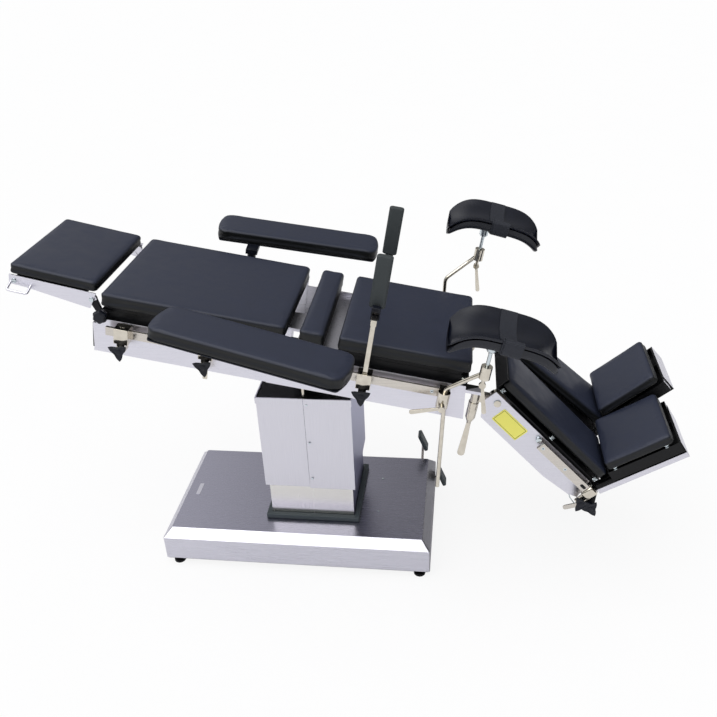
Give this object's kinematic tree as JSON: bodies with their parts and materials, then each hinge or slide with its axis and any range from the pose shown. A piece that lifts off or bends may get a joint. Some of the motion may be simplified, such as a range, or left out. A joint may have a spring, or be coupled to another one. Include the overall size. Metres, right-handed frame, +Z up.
{
  "type": "electric operating table",
  "caption": "Operating table on a lifting column, with sloped back, seat and split leg pads, arm boards, body supports and leg holders",
  "frame": {"origin": "centre of the base frame's flat underside, 30 mm above the floor that the levelling feet stand on", "axes": "+X runs from the head end to the foot end, +Y to the far side of the picture, +Z up"},
  "size_m": [2.2288, 1.1254, 1.2713],
  "materials": {
    "stainless": "satin",
    "base_steel": "satin",
    "black_rubber": "matte",
    "black_steel": "satin",
    "chrome": "polished",
    "upholstery": "satin",
    "black_plastic": "satin"
  },
  "bodies": {
    "base": {"base_frame": "base_steel", "base_housing": "stainless", "column_gasket": "black_rubber", "lower_column_cover": "stainless"},
    "lift": {"lift_ram": "black_steel", "column_cover_left": "stainless", "column_cover_right": "stainless"},
    "push_rod": {"tilt_push_rod": "chrome"},
    "tilt_block": {"tilt_block": "black_steel"},
    "table": {"seat_frame": "stainless", "seat_pad": "upholstery"},
    "kidney": {"kidney_bridge": "stainless", "kidney_pad": "upholstery"},
    "back": {"back_frame": "stainless", "back_pad": "upholstery"},
    "head": {"head_frame": "stainless", "head_pad": "upholstery"},
    "head_knob": {"head_knob": "black_plastic"},
    "end_pedal": {"end_pedal": "black_steel"},
    "side_pedal": {"side_pedal": "black_steel"},
    "spare_clamp": {"spare_clamp": "stainless"},
    "spare_clamp_knob": {"spare_clamp_knob": "black_plastic"},
    "arm_clamp_near": {"arm_clamp_near": "stainless"},
    "arm_clamp_knob_near": {"arm_clamp_knob_near": "black_plastic"},
    "arm_board_near": {"arm_board_near": "black_plastic", "arm_pad_near": "upholstery"},
    "support_clamp_near": {"support_clamp_near": "stainless"},
    "support_clamp_knob_near": {"support_clamp_knob_near": "black_plastic"},
    "support_pad_near": {"support_pad_near": "upholstery"},
    "holder_clamp_near": {"holder_clamp_near": "stainless"},
    "holder_clamp_lever_near": {"holder_clamp_lever_near": "black_plastic"},
    "holder_rod_near": {"holder_rod_near": "stainless"},
    "saddle_lock_lever_near": {"saddle_lock_lever_near": "black_plastic"},
    "saddle_near": {"saddle_near": "upholstery"},
    "leg_bracket_near": {"leg_bracket_near": "stainless"},
    "splay_lever_near": {"splay_lever_near": "black_plastic"},
    "leg_near": {"leg_frame_near": "stainless", "leg_pad_near": "upholstery"},
    "foot_near": {"foot_frame_near": "stainless", "foot_pad_near": "upholstery"},
    "foot_knob_near": {"foot_knob_near": "black_plastic"},
    "arm_clamp_far": {"arm_clamp_far": "stainless"},
    "arm_clamp_knob_far": {"arm_clamp_knob_far": "black_plastic"},
    "arm_board_far": {"arm_board_far": "black_plastic", "arm_pad_far": "upholstery"},
    "support_clamp_far": {"support_clamp_far": "stainless"},
    "support_clamp_knob_far": {"support_clamp_knob_far": "black_plastic"},
    "support_pad_far": {"support_pad_far": "upholstery"},
    "holder_clamp_far": {"holder_clamp_far": "stainless"},
    "holder_clamp_lever_far": {"holder_clamp_lever_far": "black_plastic"},
    "holder_rod_far": {"holder_rod_far": "stainless"},
    "saddle_lock_lever_far": {"saddle_lock_lever_far": "black_plastic"},
    "saddle_far": {"saddle_far": "upholstery"},
    "leg_bracket_far": {"leg_bracket_far": "stainless"},
    "splay_lever_far": {"splay_lever_far": "black_plastic"},
    "leg_far": {"leg_frame_far": "stainless", "leg_pad_far": "upholstery"},
    "foot_far": {"foot_frame_far": "stainless", "foot_pad_far": "upholstery"},
    "foot_knob_far": {"foot_knob_far": "black_plastic"}
  },
  "joints": [
    {"name": "lift_slide", "type": "slide", "parent": "base", "child": "lift", "axis": [0, 0, 1], "range_m": [-0.12, 0.15]},
    {"name": "push_rod_slide", "type": "slide", "parent": "lift", "child": "push_rod", "axis": [0, 0, 1], "range_m": [-0.04, 0.04]},
    {"name": "head_foot_tilt", "type": "hinge", "parent": "lift", "child": "tilt_block", "pos_m": [0.056, 0, 0.8], "axis": [0, 1, 0], "range_deg": [-35, 14]},
    {"name": "side_tilt", "type": "hinge", "parent": "tilt_block", "child": "table", "pos_m": [0.056, 0, 0.8], "axis": [0.9836, 0, -0.1805], "range_deg": [-15, 15]},
    {"name": "kidney_rise", "type": "slide", "parent": "table", "child": "kidney", "axis": [0.1805, 0, 0.9836], "range_m": [0, 0.11]},
    {"name": "back_hinge", "type": "hinge", "parent": "table", "child": "back", "pos_m": [0.01018, 0, 0.94363], "axis": [0, -1, 0], "range_deg": [-70, 15]},
    {"name": "head_hinge", "type": "hinge", "parent": "back", "child": "head", "pos_m": [-0.60739, 0, 1.07426], "axis": [0, 1, 0], "range_deg": [-60, 20]},
    {"name": "head_knob_turn", "type": "hinge", "parent": "back", "child": "head_knob", "pos_m": [-0.56676, -0.262, 1.03529], "axis": [0, 1, 0], "continuous": true},
    {"name": "end_pedal_press", "type": "hinge", "parent": "base", "child": "end_pedal", "pos_m": [0.47, 0.2, 0.052], "axis": [0, 1, 0], "range_deg": [0, 12], "stiffness_Nm_per_rad": 4},
    {"name": "side_pedal_press", "type": "hinge", "parent": "base", "child": "side_pedal", "pos_m": [0.447, 0.289, 0.062], "axis": [0, 1, 0], "range_deg": [0, 14], "stiffness_Nm_per_rad": 4},
    {"name": "spare_clamp_slide", "type": "slide", "parent": "back", "child": "spare_clamp", "axis": [0.9836, 0, -0.1805], "range_m": [-0.03, 0.12]},
    {"name": "spare_clamp_knob_turn", "type": "hinge", "parent": "spare_clamp", "child": "spare_clamp_knob", "pos_m": [-0.49858, -0.3173, 0.94144], "axis": [0, 1, 0], "continuous": true},
    {"name": "arm_clamp_slide_near", "type": "slide", "parent": "back", "child": "arm_clamp_near", "axis": [0.9836, 0, -0.1805], "range_m": [-0.1, 0.06]},
    {"name": "arm_clamp_knob_turn_near", "type": "hinge", "parent": "arm_clamp_near", "child": "arm_clamp_knob_near", "pos_m": [-0.22318, -0.3173, 0.89089], "axis": [0, 1, 0], "continuous": true},
    {"name": "arm_board_swing_near", "type": "hinge", "parent": "arm_clamp_near", "child": "arm_board_near", "pos_m": [-0.20657, -0.297, 0.98138], "axis": [-0.1805, 0, -0.9836], "range_deg": [-9, 80]},
    {"name": "support_clamp_slide_near", "type": "slide", "parent": "table", "child": "support_clamp_near", "axis": [0.9836, 0, -0.1805], "range_m": [-0.1, 0.08]},
    {"name": "support_clamp_knob_turn_near", "type": "hinge", "parent": "support_clamp_near", "child": "support_clamp_knob_near", "pos_m": [0.28533, -0.3173, 0.79756], "axis": [0, 1, 0], "continuous": true},
    {"name": "support_pad_tilt_near", "type": "hinge", "parent": "support_clamp_near", "child": "support_pad_near", "pos_m": [0.33082, -0.246, 1.04542], "axis": [0.9836, 0, -0.1805], "range_deg": [-25, 25]},
    {"name": "holder_clamp_slide_near", "type": "slide", "parent": "table", "child": "holder_clamp_near", "axis": [0.9836, 0, -0.1805], "range_m": [-0.08, 0]},
    {"name": "holder_clamp_lever_turn_near", "type": "hinge", "parent": "holder_clamp_near", "child": "holder_clamp_lever_near", "pos_m": [0.54332, -0.309, 0.76851], "axis": [0, 1, 0], "range_deg": [-45, 45]},
    {"name": "holder_rod_slide_near", "type": "slide", "parent": "holder_clamp_near", "child": "holder_rod_near", "axis": [0.0593, 0, 0.9982], "range_m": [0, 0.12]},
    {"name": "saddle_lock_turn_near", "type": "hinge", "parent": "holder_rod_near", "child": "saddle_lock_lever_near", "pos_m": [0.67187, -0.344, 0.88726], "axis": [0.1805, 0, 0.9836], "range_deg": [-60, 60]},
    {"name": "saddle_turn_near", "type": "hinge", "parent": "holder_rod_near", "child": "saddle_near", "pos_m": [0.67981, -0.344, 0.93053], "axis": [-0.1805, 0, -0.9836], "range_deg": [-30, 30]},
    {"name": "leg_splay_near", "type": "hinge", "parent": "table", "child": "leg_bracket_near", "pos_m": [0.66192, -0.236, 0.82198], "axis": [-0.1805, 0, -0.9836], "range_deg": [0, 40]},
    {"name": "splay_lever_turn_near", "type": "hinge", "parent": "leg_bracket_near", "child": "splay_lever_near", "pos_m": [0.64562, -0.236, 0.73316], "axis": [0.1805, 0, 0.9836], "range_deg": [-40, 40]},
    {"name": "leg_hinge_near", "type": "hinge", "parent": "leg_bracket_near", "child": "leg_near", "pos_m": [0.72064, 0, 0.74308], "axis": [0, -1, 0], "range_deg": [-49, 36]},
    {"name": "foot_hinge_near", "type": "hinge", "parent": "leg_near", "child": "foot_near", "pos_m": [1.05594, 0, 0.38851], "axis": [0, 1, 0], "range_deg": [-3, 74]},
    {"name": "foot_knob_turn_near", "type": "hinge", "parent": "leg_near", "child": "foot_knob_near", "pos_m": [1.05177, -0.2633, 0.34053], "axis": [0, 1, 0], "continuous": true},
    {"name": "arm_clamp_slide_far", "type": "slide", "parent": "back", "child": "arm_clamp_far", "axis": [0.9836, 0, -0.1805], "range_m": [-0.1, 0.06]},
    {"name": "arm_clamp_knob_turn_far", "type": "hinge", "parent": "arm_clamp_far", "child": "arm_clamp_knob_far", "pos_m": [-0.22318, 0.3173, 0.89089], "axis": [0, 1, 0], "continuous": true},
    {"name": "arm_board_swing_far", "type": "hinge", "parent": "arm_clamp_far", "child": "arm_board_far", "pos_m": [-0.20657, 0.297, 0.98138], "axis": [0.1805, 0, 0.9836], "range_deg": [-5, 80]},
    {"name": "support_clamp_slide_far", "type": "slide", "parent": "table", "child": "support_clamp_far", "axis": [0.9836, 0, -0.1805], "range_m": [-0.1, 0.08]},
    {"name": "support_clamp_knob_turn_far", "type": "hinge", "parent": "support_clamp_far", "child": "support_clamp_knob_far", "pos_m": [0.28533, 0.3173, 0.79756], "axis": [0, 1, 0], "continuous": true},
    {"name": "support_pad_tilt_far", "type": "hinge", "parent": "support_clamp_far", "child": "support_pad_far", "pos_m": [0.33082, 0.246, 1.04542], "axis": [-0.9836, 0, 0.1805], "range_deg": [-25, 25]},
    {"name": "holder_clamp_slide_far", "type": "slide", "parent": "table", "child": "holder_clamp_far", "axis": [0.9836, 0, -0.1805], "range_m": [-0.08, 0.02]},
    {"name": "holder_clamp_lever_turn_far", "type": "hinge", "parent": "holder_clamp_far", "child": "holder_clamp_lever_far", "pos_m": [0.51873, 0.309, 0.77302], "axis": [0, 1, 0], "range_deg": [-45, 45]},
    {"name": "holder_rod_slide_far", "type": "slide", "parent": "holder_clamp_far", "child": "holder_rod_far", "axis": [0.0593, 0, 0.9982], "range_m": [-0.08, 0.08]},
    {"name": "saddle_lock_turn_far", "type": "hinge", "parent": "holder_rod_far", "child": "saddle_lock_lever_far", "pos_m": [0.65321, 0.344, 0.99159], "axis": [0.1805, 0, 0.9836], "range_deg": [-60, 60]},
    {"name": "saddle_turn_far", "type": "hinge", "parent": "holder_rod_far", "child": "saddle_far", "pos_m": [0.66115, 0.344, 1.03487], "axis": [0.1805, 0, 0.9836], "range_deg": [-30, 30]},
    {"name": "leg_splay_far", "type": "hinge", "parent": "table", "child": "leg_bracket_far", "pos_m": [0.66192, 0.236, 0.82198], "axis": [0.1805, 0, 0.9836], "range_deg": [0, 40]},
    {"name": "splay_lever_turn_far", "type": "hinge", "parent": "leg_bracket_far", "child": "splay_lever_far", "pos_m": [0.64562, 0.236, 0.73316], "axis": [0.1805, 0, 0.9836], "range_deg": [-40, 40]},
    {"name": "leg_hinge_far", "type": "hinge", "parent": "leg_bracket_far", "child": "leg_far", "pos_m": [0.72064, 0, 0.74308], "axis": [0, -1, 0], "range_deg": [-54, 31]},
    {"name": "foot_hinge_far", "type": "hinge", "parent": "leg_far", "child": "foot_far", "pos_m": [1.0867, 0, 0.42036], "axis": [0, 1, 0], "range_deg": [-3, 78]},
    {"name": "foot_knob_turn_far", "type": "hinge", "parent": "leg_far", "child": "foot_knob_far", "pos_m": [1.08689, 0.2633, 0.3722], "axis": [0, 1, 0], "continuous": true}
  ],
  "couplings": [
    {"joint": "push_rod_slide", "follows": "side_tilt", "m_per_rad": -0.146}
  ]
}
